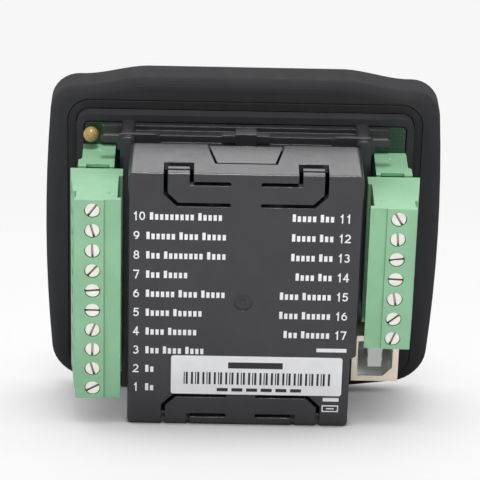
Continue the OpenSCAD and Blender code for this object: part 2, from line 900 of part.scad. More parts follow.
module rear_cover() color("#2b2b2f") {
    difference() {
        union() {
            cover_block();
            both_sides() {
                column();
                ear(ear_end);
                ear_tab();
            }
            ear_wall(ear_end);
            cover_foot(ear_end + tab_l);
            mirror([0, 0, 1]) {
                both_sides() ear(low_ear_end);
                ear_wall(low_ear_end);
                cover_foot(low_ear_end);
            }
        }
        cover_hollow();
        port_relief();
        top_and_bottom() {
            both_sides() finger_slots();
            along_z(cover_top - cover_wall - over, cover_h) latch_outline(channel_end - over, latch_gap);
            neck_way();
        }
        centre_mark();
    }
}

// Way of the latch neck through the cover's front part
module neck_way() {
    half = latch_neck_w / 2 + neck_slack;
    top = neck_z + latch_neck_t + neck_slack;
    block([-half, board_rear - over, front_roof - over], [half, latch_y, top]);
}

module centre_mark() {
    difference() {
        rod_y(0, 0, mark_d, cover_rear - mark_depth, cover_rear + over);
        rod_y(0, 0, gate_d, cover_rear - mark_depth, cover_rear - mark_depth / 2);
    }
}

module label() color("#e4e4e6") {
    translate([label_x, 0, label_z]) along_y(cover_rear, cover_rear + label_t) {
        round_rect(label_w, label_h, label_r);
    }
}

// Pin headers, drawn for the +X side with the pin row at local X 0
module header(length) {
    cave_out = header_out - header_wall;
    cave_in = header_in - header_wall;
    lip_low = rim_y - header_lip_h;
    difference() {
        along_z(-length / 2, length / 2) polygon([
            [-header_in, board_rear],
            [header_out, board_rear],
            [header_out, lip_low - header_lip],
            [header_out + header_lip, lip_low],
            [header_out + header_lip, rim_y],
            [-header_in, rim_y]
        ]);
        block(
            [-cave_in, floor_y, header_end - length / 2],
            [cave_out, rim_y + over, length / 2 - header_end]
        );
        block([-cave_in, rim_y - rim_notch, -length], [cave_out, rim_y + over, length]);
    }
    end_dot(header_dot_in, rim_y - header_dot_edge, length);
}

// Round moulding point on the upper end of a block
module end_dot(inwards, y, length) {
    intersection() {
        translate([-inwards, y, length / 2 + dot_rise - dot_d / 2]) sphere(d = dot_d);
        block([-inwards - dot_d, y - dot_d, length / 2 - bite], [dot_d - inwards, y + dot_d, length]);
    }
}

module header_of(ways, length, z) {
    difference() {
        translate([pin_x, 0, z]) header(length);
        for (i = [0:ways - 1]) translate([pin_x, 0, z + length / 2 - pole_end - i * pitch]) {
            along_y(board_rear - over, floor_y + over) square(pin_t + 2 * pin_play, center = true);
        }
    }
}

module pins_of(ways, first) {
    pole_places(1, first, ways) along_y(board_front - pin_tail, pin_tip) square(pin_t, center = true);
}

module header_ten() color("#78be82") header_of(ten_ways, ten_l, ten_z);
module header_seven() color("#78be82") mirror([1, 0, 0]) header_of(seven_ways, seven_l, seven_z);
module header_ten_pins() color("#c9c4b4") pins_of(ten_ways, ten_first);
module header_seven_pins() color("#c9c4b4") mirror([1, 0, 0]) pins_of(seven_ways, seven_first);

// Pluggable terminal blocks, drawn for the +X side with the pin row at local X 0
module plug_section() {
    low = plug_rear - strip_step;
    polygon([
        [-plug_in, shoulder_y],
        [plug_out, shoulder_y],
        [plug_out_rear, plug_rear],
        [-strip_in, plug_rear],
        [-strip_in, low],
        [-plug_in, low],
        [-plug_in, low - side_tab],
        [side_recess - plug_in, low - side_tab],
        [side_recess - plug_in, shoulder_y + side_shoulder],
        [-plug_in, shoulder_y + side_shoulder]
    ]);
}

module plug_cell() {
    along_z(-cell_w / 2, cell_w / 2) {
        translate([screw_x - cell_in, cell_y0]) square([cell_in + cell_out, cell_y1 - cell_y0]);
    }
    along_z(-entry_w / 2, entry_w / 2) translate([screw_x, entry_y0]) square([plug_out + over, entry_h]);
    rod_y(screw_x, 0, screw_hole_d, cell_y1 - over, plug_rear + over);
    along_y(nose_y - over, cell_y0 + over) square(sleeve_hole, center = true);
}

module plug_of(ways, first, length, z) {
    nose_l = length - 2 * header_end - 2 * plug_gap;
    difference() {
        translate([pin_x, 0, z]) {
            along_z(-length / 2, length / 2) plug_section();
            block([-nose_in, nose_y, -nose_l / 2], [nose_out, shoulder_y + over, nose_l / 2]);
            end_dot(plug_dot_in, plug_rear - plug_dot_edge, length);
        }
        pole_places(1, first, ways) plug_cell();
        translate([pin_x, 0, z]) marker_groove(length);
    }
}

module marker_groove(length) {
    rear = plug_rear - marker_edge;
    block([plug_out_rear - marker_d, rear - marker_w, -length], [plug_out + over, rear, length]);
}

module clamp_cage() {
    width = cell_w - 2 * cage_gap;
    difference() {
        along_z(-width / 2, width / 2) {
            translate([screw_x - cell_in + cage_gap, cell_y0 + cage_gap]) {
                square([cell_in + cell_out - 2 * cage_gap, cell_y1 - cell_y0 - 2 * cage_gap]);
            }
        }
        block(
            [-over - cell_in, entry_y0, cage_side - width / 2],
            [plug_out, entry_y0 + entry_h - entry_step, width / 2 - cage_side]
        );
        rod_y(screw_x, 0, screw_d + thread_play, entry_y0, cell_y1 + over);
    }
}

module terminal_screw() {
    head_y = plug_rear - screw_sink;
    difference() {
        union() {
            rod_y(0, 0, screw_head_d, head_y - screw_head_h, head_y);
            rod_y(0, 0, screw_d, cell_y1 - screw_reach, head_y - screw_head_h);
        }
        block(
            [-screw_head_d, head_y - screw_slot_d, -screw_slot / 2],
            [screw_head_d, head_y + over, screw_slot / 2]
        );
    }
}

module screw_row(first, ways, turns) {
    for (i = [0:ways - 1]) translate([pin_x + screw_x, 0, pole_z(first, i)]) {
        rotate([0, turns[i], 0]) terminal_screw();
    }
}

module contact_sleeve() {
    along_y(nose_y + sleeve_sink, cell_y0 + cage_gap) difference() {
        square(sleeve_w, center = true);
        square(sleeve_bore, center = true);
    }
}

module plug_ten() color("#8cbe96") plug_of(ten_ways, ten_first, ten_l, ten_z);
module plug_seven() color("#8cbe96") mirror([1, 0, 0]) plug_of(seven_ways, seven_first, seven_l, seven_z);
module plug_ten_screws() color("#d8d4cc") screw_row(ten_first, ten_ways, ten_turn);
module plug_seven_screws() color("#d8d4cc") mirror([1, 0, 0]) {
    screw_row(seven_first, seven_ways, -seven_turn);
}
module plug_ten_clamps() color("#b8b0a0") pole_places(1, ten_first, ten_ways) clamp_cage();
module plug_seven_clamps() color("#b8b0a0") mirror([1, 0, 0]) {
    pole_places(1, seven_first, seven_ways) clamp_cage();
}
module plug_ten_contacts() color("#c9b98a") pole_places(1, ten_first, ten_ways) contact_sleeve();
module plug_seven_contacts() color("#c9b98a") mirror([1, 0, 0]) {
    pole_places(1, seven_first, seven_ways) contact_sleeve();
}

// Port
module port_opening() {
    w = port_w / 2 - port_rim;
    h = port_h / 2 - port_rim;
    b = port_bevel;
    polygon([[w, -h], [w, h], [b - w, h], [-w, h - b], [-w, b - h], [b - w, -h]]);
}

module usb_shell() color("#c4b49c") {
    translate([port_x, 0, port_z]) {
        along_y(board_rear, port_end) difference() {
            square([port_w, port_h], center = true);
            square([port_w - 2 * port_t, port_h - 2 * port_t], center = true);
        }
        along_y(port_end - port_t, port_end) difference() {
            square([port_w, port_h], center = true);
            port_opening();
        }
    }
}

module usb_insulator() color("#c8d0d0") {
    inset = 2 * (port_t + port_play);
    translate([port_x, 0, port_z]) {
        along_y(board_rear, board_rear + port_floor) square([port_w - inset, port_h - inset], center = true);
        along_y(board_rear, port_end - port_t - port_play) difference() {
            square([port_w - inset, port_h - inset], center = true);
            port_opening();
        }
        along_y(board_rear, port_end - tongue_sink) square([tongue_w, tongue_h], center = true);
    }
}

module usb_contacts() color("#d8b860") {
    tip = port_end - tongue_sink - contact_sink;
    for (x = [-tongue_w / 2 - contact_t, tongue_w / 2], z = [-contact_pitch / 2, contact_pitch / 2]) {
        translate([port_x + x, 0, port_z + z - contact_w / 2]) {
            block([0, board_rear + port_floor, 0], [contact_t, tip, contact_w]);
        }
    }
}

// Parts on the board's rear side
module bead_capacitor() color("#b08a3c") {
    translate([pin_x + bead_out, board_rear, ten_z + ten_l / 2 + bead_gap + bead_d / 2]) {
        translate([0, bead_stand, 0]) sphere(d = bead_d);
        for (side = [-1, 1]) rod_y(side * bead_leg_pitch / 2, 0, bead_leg, 0, bead_stand);
    }
}

module output_relays() color("#26282c") {
    for (i = [0:relays - 1]) translate([right_x, 0, relay_z - i * (relay_h + right_gap)]) {
        along_y(board_rear, board_rear + relay_l) round_rect(relay_w, relay_h, part_r);
    }
}

module bulk_capacitors() color("#23304a") {
    for (side = [-1, 1]) {
        rod_y(right_x + side * (can_d + can_gap) / 2, can_z, can_d, board_rear, board_rear + can_l);
    }
}

module power_inductor() color("#3a3a3c") {
    top = board_rear + inductor_l;
    translate([left_x, 0, inductor_z]) {
        along_y(board_rear, board_rear + flange_t) round_rect(inductor_w, inductor_w, part_r);
        rod_y(0, 0, core_d, board_rear + flange_t, top - flange_t);
        along_y(top - flange_t, top) round_rect(inductor_w, inductor_w, part_r);
    }
}

module microcontroller() color("#1e1f22") {
    first = -(chip_leads - 1) / 2 * lead_pitch;
    translate([left_x, board_rear, chip_z]) {
        along_y(chip_stand, chip_stand + chip_t) square(chip_w, center = true);
        for (side = [0:90:270], k = [0:chip_leads - 1]) rotate([0, side, 0]) {
            translate([chip_w / 2 - lead_in, 0, first + k * lead_pitch - lead_w / 2]) {
                cube([lead_l + lead_in, lead_t, lead_w]);
            }
        }
    }
}

module crystal() color("#c8c8cc") {
    round_end = (crystal_h - lead_in) / 2;
    translate([left_x, 0, crystal_z]) along_y(board_rear, board_rear + crystal_l) {
        round_rect(crystal_w, crystal_h, round_end);
    }
}

module sense_transformer() color("#20242c") {
    translate([left_x, 0, coil_z]) along_y(board_rear, board_rear + coil_l) {
        round_rect(coil_w, coil_h, part_r);
    }
}

module surge_varistor() color("#2f5fa8") {
    middle = disc_stand + disc_d / 2;
    translate([left_x, board_rear, disc_z]) {
        translate([-disc_t / 2, middle, 0]) rotate([0, 90, 0]) cylinder(d = disc_d, h = disc_t);
        for (side = [-1, 1]) rod_y(0, side * disc_leg_pitch / 2, disc_leg, 0, middle);
    }
}

front_frame();
panel_gasket();
lens_window();
lcd_glass();
lcd_backlight();
lcd_ribbon();
stop_key();
mode_key();
page_key();
start_key();
stop_plunger();
mode_plunger();
page_plunger();
start_plunger();
key_switches();
status_leds();
main_board();
rear_cover();
label();
header_ten();
header_seven();
header_ten_pins();
header_seven_pins();
plug_ten();
plug_seven();
plug_ten_screws();
plug_seven_screws();
plug_ten_clamps();
plug_seven_clamps();
plug_ten_contacts();
plug_seven_contacts();
usb_shell();
usb_insulator();
usb_contacts();
bead_capacitor();
output_relays();
bulk_capacitors();
power_inductor();
microcontroller();
crystal();
sense_transformer();
surge_varistor();
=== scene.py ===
"""Looks of the genset controller: materials, printed legends, floor, light and the photograph's camera."""
import json
import math

import bmesh
import bpy
from mathutils import Matrix, Vector


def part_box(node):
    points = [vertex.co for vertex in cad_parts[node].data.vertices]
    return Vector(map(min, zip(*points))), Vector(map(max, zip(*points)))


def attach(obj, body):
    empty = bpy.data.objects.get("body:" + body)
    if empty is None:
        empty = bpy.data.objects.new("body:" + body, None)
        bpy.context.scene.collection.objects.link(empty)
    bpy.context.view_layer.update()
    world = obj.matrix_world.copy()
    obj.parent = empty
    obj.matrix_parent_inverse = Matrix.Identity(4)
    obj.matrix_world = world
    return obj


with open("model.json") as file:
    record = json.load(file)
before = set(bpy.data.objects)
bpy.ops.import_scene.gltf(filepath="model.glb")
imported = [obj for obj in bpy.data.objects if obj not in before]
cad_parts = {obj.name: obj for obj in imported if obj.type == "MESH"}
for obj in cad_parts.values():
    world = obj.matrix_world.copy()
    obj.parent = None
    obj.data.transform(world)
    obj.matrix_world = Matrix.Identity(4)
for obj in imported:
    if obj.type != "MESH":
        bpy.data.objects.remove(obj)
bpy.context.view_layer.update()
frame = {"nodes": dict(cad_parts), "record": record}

MM = 0.001

# Camera: turn and rise seen from the part's middle, in degrees, and distances in millimetres
CAMERA_TURN = 1.05
CAMERA_RISE = 27.07
CAMERA_ROLL = 1.51
CAMERA_DISTANCE = 632.4
CAMERA_AIM = (0.82, 15.0, 7.86)
CAMERA_LENS = 204.6
SENSOR = 36.0
CLIP_NEAR = 10

# Printed legends on the rear face, in millimetres
PRINT_T = 0.03
# Height between two strokes of one figure, where they cross
PRINT_STEP = 0.01
# Least divisor that widens a ribbon at a sharp corner
MITRE_LEAST = 0.5
# Longest step along a curved stroke, in degrees
ARC_STEP = 24
NUMBER_H = 2.15
NUMBER_PITCH = 1.5
FIGURE_W = 1.35
STROKE_W = 0.31
LEFT_NUMBER_X = 25.1
LEFT_TOP_Z = 21.7
LEFT_PITCH = 4.915
LEFT_WORD_X = 22.2
# How far number ten stands out to the left of the others, and its words to the right
TEN_OUT = 0.25
TEN_WORDS_IN = 0.75
RIGHT_NUMBER_X = -24.0
RIGHT_TOP_Z = 21.8
RIGHT_PITCH = 4.98
RIGHT_WORD_X = -20.3
LETTER_W = 0.74
LETTER_PITCH = 1.14
CAPITAL_H = 1.85
LETTER_H = 1.4
WORD_GAP = 0.6
# Short bars above the label and above the port's mark: middle, height on the face and length
SMALL_LINES = [(-20.6, -12.1, 6.9), (-20.9, -25.2, 3.7)]
SMALL_LINE_H = 0.95
# Plain socket mark that points out the port
PORT_MARK = (-20.8, -27.6)
PORT_MARK_SIZE = (3.6, 1.5)
MARK_LINE = 0.28
# Print on the label: a heading bar (middle, height on the face, length, thickness), stripes and short bars
HEADING = (-3.2, -16.4, 12.6, 1.6)
STRIPES_X = (13.3, -20.8)
STRIPES_Z = (-18.3, -21.5)
STRIPE_UNIT = 0.24
FOOT_LINE_Z = -22.9
FOOT_LINE_X = (5.6, -12.6)
FOOT_LINE_H = 0.85
FOOT_LINE_W = 2.55
FOOT_LINE_PITCH = 3.4
# Plain marks on the keys: size and line
KEY_MARK = 3.2
KEY_LINE = 0.5
# Counts of the plain blocks that stand in the place of each word's letters, line by line from the top
LEFT_WORDS = [(9, 5), (6, 4, 5), (3, 8, 4), (3, 5), (6, 4, 5), (5, 6), (4, 6), (3, 4, 4), (2,), (2,)]
RIGHT_WORDS = [(5, 3), (5, 3), (5, 3), (4, 3), (4, 6), (4, 6), (3, 6)]


def linear(red, green, blue):
    """An sRGB colour, 0 to 255, as linear values with alpha."""
    def one(c):
        c /= 255
        return c / 12.92 if c <= 0.04045 else ((c + 0.055) / 1.055) ** 2.4
    return one(red), one(green), one(blue), 1.0


# Materials

# Frame and cover: colour, lowest and highest roughness, and the frame's specular level
FRAME_RGB = (54, 54, 57)
FRAME_ROUGH = (0.7, 0.8)
FRAME_SPECULAR = 0.06
COVER_RGB = (50, 50, 54)
COVER_ROUGH = (0.2, 0.26)
# Open share of the space over a surface at which painted shade covers it fully, and from which there is none
HOLLOW_SHADE_OPEN = (0.35, 0.75)
# Ray samples of the nodes that look for open space, and of those that round edges
OPEN_SAMPLES = 8
EDGE_SAMPLES = 4
# Where the frame's latch arms begin, behind the panel, in millimetres
ARM_Y = 10


class Surface:
    """A node material with one Principled shader, and short ways to feed it."""

    def __init__(self, name):
        self.material = bpy.data.materials.new(name)
        self.material.use_nodes = True
        self.tree = self.material.node_tree
        self.tree.nodes.clear()
        self.shader = self.add("ShaderNodeBsdfPrincipled")
        self.output = self.add("ShaderNodeOutputMaterial")
        self.link(self.shader.outputs["BSDF"], self.output.inputs["Surface"])
        self.place = self.add("ShaderNodeTexCoord").outputs["Object"]

    def add(self, kind, **values):
        node = self.tree.nodes.new(kind)
        for key, value in values.items():
            setattr(node, key, value)
        return node

    def link(self, source, target):
        self.tree.links.new(source, target)

    def set(self, **values):
        for key, value in values.items():
            self.shader.inputs[key.replace("_", " ")].default_value = value
        return self

    def noise(self, size, detail=2.0, stretch=(1, 1, 1)):
        """Cloudy noise whose patches are about that many millimetres across."""
        mapping = self.add("ShaderNodeMapping")
        mapping.inputs["Scale"].default_value = stretch
        self.link(self.place, mapping.inputs["Vector"])
        node = self.add("ShaderNodeTexNoise")
        node.inputs["Scale"].default_value = 1 / (size * MM)
        node.inputs["Detail"].default_value = detail
        self.link(mapping.outputs["Vector"], node.inputs["Vector"])
        return node.outputs["Fac"]

    def spread(self, source, low, high, start=0.3, end=0.7):
        """A noise value brought from start..end to low..high."""
        node = self.add("ShaderNodeMapRange")
        node.inputs["From Min"].default_value = start
        node.inputs["From Max"].default_value = end
        node.inputs["To Min"].default_value = low
        node.inputs["To Max"].default_value = high
        self.link(source, node.inputs["Value"])
        return node.outputs["Result"]

    def blend(self, factor, first, second):
        """A colour between two colours or sockets."""
        node = self.add("ShaderNodeMix", data_type="RGBA")
        self.link(factor, node.inputs["Factor"])
        for socket, value in (("A", first), ("B", second)):
            target = next(i for i in node.inputs if i.name == socket and i.type == "RGBA")
            if isinstance(value, bpy.types.NodeSocket):
                self.link(value, target)
            else:
                target.default_value = value
        return next(o for o in node.outputs if o.type == "RGBA")

    def colour(self, first, second, size, detail=3.0):
        """Colour that drifts between two shades over patches of that size."""
        factor = self.spread(self.noise(size, detail), 0, 1)
        self.link(self.blend(factor, first, second), self.shader.inputs["Base Color"])
        return self

    def roughness(self, low, high, size):
        self.link(self.spread(self.noise(size), low, high), self.shader.inputs["Roughness"])
        return self

    def openness(self, reach, start, end):
        """Nought to one as the open share of the space, that many millimetres round, goes from start to end."""
        node = self.add("ShaderNodeAmbientOcclusion", samples=OPEN_SAMPLES)
        node.inputs["Distance"].default_value = reach * MM
        return self.spread(node.outputs["AO"], 0, 1, start, end)

    def grime(self, reach, rgb):
        """Painted shade of that colour in slots and corners narrower than about that many millimetres."""
        base = self.shader.inputs["Base Color"]
        clean = base.links[0].from_socket
        self.link(self.blend(self.openness(reach, *HOLLOW_SHADE_OPEN), linear(*rgb), clean), base)
        return self

    def relief(self, size, depth, edge=0.0, stretch=(1, 1, 1)):
        """Fine grain of that depth, and edges rounded by that radius, in millimetres."""
        bump = self.add("ShaderNodeBump")
        bump.inputs["Distance"].default_value = depth * MM
        self.link(self.noise(size, 2.0, stretch), bump.inputs["Height"])
        if edge:
            rounding = self.add("ShaderNodeBevel", samples=EDGE_SAMPLES)
            rounding.inputs["Radius"].default_value = edge * MM
            self.link(rounding.outputs["Normal"], bump.inputs["Normal"])
        self.link(bump.outputs["Normal"], self.shader.inputs["Normal"])
        return self


def shades(rgb, change):
    """Two shades of one sRGB colour, that share darker and lighter."""
    return [linear(*(min(255, c * (1 + side * change)) for c in rgb)) for side in (-1, 1)]


def plastic(name, rgb, rough, grain=0.25, depth=0.01, edge=0.12, change=0.06, patch=9.0):
    """Moulded plastic: fine spark grain, faint drift of shade and gloss, edges a little rounded."""
    low, high = rough
    return (Surface(name).colour(*shades(rgb, change), patch).roughness(low, high, patch / 3)
            .relief(grain, depth, edge))


def metal(name, rgb, rough, scratch=(1, 1, 1), depth=0.006, edge=0.08):
    """Plated metal with fine marks along one direction."""
    low, high = rough
    return (Surface(name).set(Metallic=1.0).colour(*shades(rgb, 0.025), 2.5).roughness(low, high, 0.8)
            .relief(0.12, depth, edge, scratch))


def make_materials():
    """One material for each slot of the record."""
    made = {
        "frame_plastic": frame_plastic(),
        "cover_plastic": plastic("cover_plastic", COVER_RGB, COVER_ROUGH, 0.3, 0.008, 0.2),
        "gasket_rubber": plastic("gasket_rubber", (24, 24, 26), (0.7, 0.85), 0.5, 0.02, 0.15),
        "backlight_white": plastic("backlight_white", (226, 226, 220), (0.45, 0.55)),
        "ribbon_amber": plastic("ribbon_amber", (186, 124, 48), (0.3, 0.4), 1.5, 0.01, 0),
        "key_red": plastic("key_red", (176, 38, 30), (0.42, 0.52), 0.3, 0.012, 0.35),
        "key_grey": plastic("key_grey", (92, 95, 100), (0.42, 0.52), 0.3, 0.012, 0.35),
        "key_green": plastic("key_green", (44, 138, 66), (0.42, 0.52), 0.3, 0.012, 0.35),
        "switch_grey": plastic("switch_grey", (120, 120, 124), (0.4, 0.5)),
        "plunger_black": plastic("plunger_black", (30, 30, 32), (0.4, 0.5)),
        "terminal_green": plastic("terminal_green", (138, 187, 149), (0.42, 0.52), 0.5, 0.01, 0.14, 0.03),
        "port_plastic": plastic("port_plastic", (252, 255, 254), (0.35, 0.45), 0.4, 0.01, 0.1),
        "part_black": plastic("part_black", (32, 33, 36), (0.45, 0.55), 0.3, 0.01, 0.15),
        "part_blue": plastic("part_blue", (40, 84, 160), (0.35, 0.45), 0.6, 0.02, 0.2),
        "contact_tin": metal("contact_tin", (206, 196, 176), (0.3, 0.45)),
        "screw_zinc": metal("screw_zinc", (250, 246, 238), (0.3, 0.42), (1, 1, 4)),
        "clamp_tin": metal("clamp_tin", (196, 188, 172), (0.35, 0.5)),
        "port_nickel": metal("port_nickel", (247, 236, 218), (0.4, 0.46), (1, 6, 1), 0.003),
        "can_aluminium": metal("can_aluminium", (200, 202, 206), (0.3, 0.42)),
        "lens_clear": lens(),
        "display_glass": display(),
        "lamp_red": lamp(),
        "board_green": board(),
        "label_white": paper(),
        "bead_gold": bead(),
    }
    # Painted shade in the wells round the screws and the other crevices of the plugs
    made["terminal_green"].set(Subsurface_Weight=0.12, Subsurface_Scale=0.6 * MM).grime(0.8, (70, 104, 78))
    # Painted shade in the screw slots
    made["screw_zinc"].grime(0.6, (76, 70, 62))
    return {slot: surface.material for slot, surface in made.items()}


def frame_plastic():
    """Matt frame whose latch arms, behind the panel, have the cover's gloss as a coat."""
    surface = Surface("frame_plastic").roughness(*FRAME_ROUGH, 3).relief(0.35, 0.01, 0.2)
    surface.set(Specular_IOR_Level=FRAME_SPECULAR, Coat_Roughness=COVER_ROUGH[0])
    split = surface.add("ShaderNodeSeparateXYZ")
    surface.link(surface.place, split.inputs["Vector"])
    behind = surface.spread(split.outputs["Y"], 0, 1, ARM_Y * MM, (ARM_Y + 1) * MM)
    surface.link(behind, surface.shader.inputs["Coat Weight"])
    drift = surface.spread(surface.noise(9.0, 3.0), 0, 1)
    shade = [surface.blend(drift, *shades(rgb, 0.03)) for rgb in (FRAME_RGB, COVER_RGB)]
    surface.link(surface.blend(behind, *shade), surface.shader.inputs["Base Color"])
    return surface


def lens():
    """Clear hard-coated plastic."""
    surface = Surface("lens_clear").set(Transmission_Weight=1.0, IOR=1.49)
    return surface.colour(*shades((226, 232, 230), 0.02), 20).roughness(0.03, 0.07, 6).relief(4.0, 0.002)


def display():
    """Unlit display: grey-green glass with a fine cell pattern."""
    surface = Surface("display_glass").set(Coat_Weight=0.6, Coat_Roughness=0.05)
    cells = surface.add("ShaderNodeTexChecker")
    cells.inputs["Scale"].default_value = 1 / (0.8 * MM)
    cells.inputs["Color1"].default_value = linear(112, 128, 108)
    cells.inputs["Color2"].default_value = linear(104, 120, 101)
    surface.link(surface.place, cells.inputs["Vector"])
    drift = surface.spread(surface.noise(25), 0, 0.25)
    tinted = surface.blend(drift, cells.outputs["Color"], linear(92, 108, 92))
    surface.link(tinted, surface.shader.inputs["Base Color"])
    return surface.roughness(0.12, 0.2, 8)


def lamp():
    """Tinted lamp body, unlit."""
    surface = Surface("lamp_red").set(Transmission_Weight=0.35, IOR=1.5, Coat_Weight=0.3)
    return surface.colour(*shades((196, 52, 36), 0.08), 3).roughness(0.15, 0.25, 2).relief(1.0, 0.005, 0.1)


def board():
    """Green solder mask with faint copper runs under it."""
    surface = Surface("board_green").set(Coat_Weight=0.3, Coat_Roughness=0.2)
    runs = surface.add("ShaderNodeTexBrick", offset=0.37)
    runs.inputs["Scale"].default_value = 1 / (4.0 * MM)
    runs.inputs["Mortar Size"].default_value = 0.05
    runs.inputs["Color1"].default_value = linear(22, 48, 34)
    runs.inputs["Color2"].default_value = linear(24, 52, 36)
    runs.inputs["Mortar"].default_value = linear(32, 66, 45)
    turned = surface.add("ShaderNodeMapping")
    turned.inputs["Rotation"].default_value = (math.pi / 2, 0, 0)
    surface.link(surface.place, turned.inputs["Vector"])
    surface.link(turned.outputs["Vector"], runs.inputs["Vector"])
    drift = surface.spread(surface.noise(6), 0, 0.5)
    surface.link(surface.blend(drift, runs.outputs["Color"], linear(20, 42, 31)),
                 surface.shader.inputs["Base Color"])
    return surface.roughness(0.35, 0.5, 3).relief(0.6, 0.02, 0.05)


def paper():
    """Coated label paper and white print."""
    return (Surface("label_white").colour(*shades((236, 236, 238), 0.015), 4).roughness(0.4, 0.5, 2)
            .relief(0.2, 0.004))


def bead():
    """Dipped amber lacquer."""
    surface = Surface("bead_gold").set(Coat_Weight=0.5, Coat_Roughness=0.12)
    return surface.colour(*shades((160, 132, 72), 0.08), 1.5).roughness(0.3, 0.42, 1).relief(0.8, 0.03)


def dress(materials):
    """Every CAD node takes the material of its slot in the record."""
    for part in frame["record"]["subparts"]:
        node = frame["nodes"][part["node"]]
        node.data.materials.clear()
        node.data.materials.append(materials[part["material_slot"]])


# Print on the rear face, on the label and on the keys

# Print is drawn with its own right and up, and stands on a face that looks along +Y or -Y
FACING_REAR = Matrix(((-1, 0, 0), (0, 0, 1), (0, 1, 0))).to_4x4()
FACING_FRONT = Matrix(((1, 0, 0), (0, 0, -1), (0, 1, 0))).to_4x4()


def add_ribbon(mesh, points, width, lift=0.0, closed=False):
    """A thin ribbon along points in a bmesh, drawn in its own right and up, in millimetres."""
    points = [Vector(p) for p in points]
    runs = [(there - here).normalized() for here, there in zip(points, points[1:])]
    if closed:
        before, after = runs[-1:] + runs[:-1], runs
        points = points[:-1]
    else:
        before, after = runs[:1] + runs, runs + runs[-1:]
    rings = []
    for point, arrive, leave in zip(points, before, after):
        side = (arrive + leave).orthogonal().normalized() * width / 2
        side /= max(MITRE_LEAST, math.sqrt((1 + arrive.dot(leave)) / 2))
        top = (PRINT_T + lift) * MM
        corners = ((point + side, 0), (point - side, 0), (point - side, top), (point + side, top))
        rings.append([mesh.verts.new((p.x * MM, p.y * MM, height)) for p, height in corners])
    links = list(zip(rings, rings[1:] + rings[:1] if closed else rings[1:]))
    for here, there in links:
        for i in range(4):
            j = (i + 1) % 4
            mesh.faces.new((here[i], here[j], there[j], there[i]))
    if not closed:
        mesh.faces.new(reversed(rings[0]))
        mesh.faces.new(rings[-1])


def arc(x, y, wide, high, start, end):
    """Points along part of an ellipse, angles in degrees from the right."""
    steps = max(2, round(abs(end - start) / ARC_STEP))
    turns = [math.radians(start + (end - start) * i / steps) for i in range(steps + 1)]
    return [(x + wide * math.cos(t), y + high * math.sin(t)) for t in turns]


def figure_lines(figure):
    """The lines of a plain figure in a cell one wide and one high."""
    bowl = arc(0.5, 0.31, 0.5, 0.31, 180, 540)
    tail = arc(1.0, 0.31, 1.0, 0.69, 180, 105)
    return {
        "0": [arc(0.5, 0.5, 0.5, 0.5, 90, 450)],
        "1": [[(0.2, 0.74), (0.62, 0.94)], [(0.62, 1.12), (0.62, -0.12)]],
        "2": [arc(0.5, 0.7, 0.48, 0.3, 165, -35) + [(0.04, 0.06)], [(-0.18, 0.0), (1.18, 0.0)]],
        "3": [arc(0.48, 0.76, 0.42, 0.24, 155, -90), arc(0.48, 0.27, 0.5, 0.27, 90, -155)],
        "4": [[(0.74, -0.12), (0.74, 1.12)], [(0.7, 1.0), (0.02, 0.28)], [(-0.18, 0.28), (1.2, 0.28)]],
        "5": [[(1.06, 1.0), (0.1, 1.0)], [(0.2, 1.0), (0.1, 0.46)], arc(0.46, 0.32, 0.52, 0.32, 140, -155)],
        "6": [bowl, tail],
        "7": [[(-0.15, 1.0), (1.15, 1.0)], [(1.0, 0.98), (0.34, -0.12)]],
        "8": [arc(0.5, 0.76, 0.42, 0.24, 90, 450), arc(0.5, 0.26, 0.5, 0.26, 90, 450)],
        "9": [[(1 - x, 1 - y) for x, y in line] for line in (bowl, tail)],
    }[figure]


def add_number(mesh, number, left, z):
    """A plain number in a bmesh, drawn stroke by stroke from its left edge, its middle at height z."""
    wide, high = FIGURE_W - STROKE_W, NUMBER_H - STROKE_W
    for i, figure in enumerate(str(number)):
        corner = Vector((left + i * NUMBER_PITCH + STROKE_W / 2, z - high / 2))
        for k, line in enumerate(figure_lines(figure)):
            points = [corner + Vector((x * wide, y * high)) for x, y in line]
            closed = (points[0] - points[-1]).length < STROKE_W / 10
            add_ribbon(mesh, points, STROKE_W, k * PRINT_STEP, closed)


def finish_print(mesh, name, face_y, material, facing=FACING_REAR, body="housing"):
    """A bmesh of print as a piece of that body that lies on the face at face_y."""
    data = bpy.data.meshes.new(name)
    mesh.to_mesh(data)
    mesh.free()
    piece = bpy.data.objects.new(name, data)
    bpy.context.scene.collection.objects.link(piece)
    data.transform(Matrix.Translation((0, face_y, 0)) @ facing)
    data.materials.append(material)
    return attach(piece, body)


def print_numbers(face_y, material):
    """Pole numbers beside both terminal blocks."""
    mesh = bmesh.new()
    for i in range(len(LEFT_WORDS)):
        number = len(LEFT_WORDS) - i
        left = -LEFT_NUMBER_X - (TEN_OUT if number > 9 else 0)
        add_number(mesh, number, left, LEFT_TOP_Z - i * LEFT_PITCH)
    for i in range(len(RIGHT_WORDS)):
        number = len(LEFT_WORDS) + 1 + i
        add_number(mesh, number, -RIGHT_NUMBER_X - 2 * NUMBER_PITCH, RIGHT_TOP_Z - i * RIGHT_PITCH)
    finish_print(mesh, "pole_numbers", face_y, material)


def add_bar(mesh, left, z, length, height):
    """A plain bar, as in the place of a word."""
    add_ribbon(mesh, [(left, z), (left + length, z)], height)


def words_length(words):
    """Length of a line of words."""
    return sum(words) * LETTER_PITCH + (len(words) - 1) * WORD_GAP


def add_words(mesh, words, left, z):
    """A line of plain blocks in the place of words, the first block of each word a little higher."""
    foot = z - CAPITAL_H / 2
    for letters in words:
        for i in range(letters):
            height = LETTER_H if i else CAPITAL_H
            add_bar(mesh, left + i * LETTER_PITCH, foot + height / 2, LETTER_W, height)
        left += letters * LETTER_PITCH + WORD_GAP


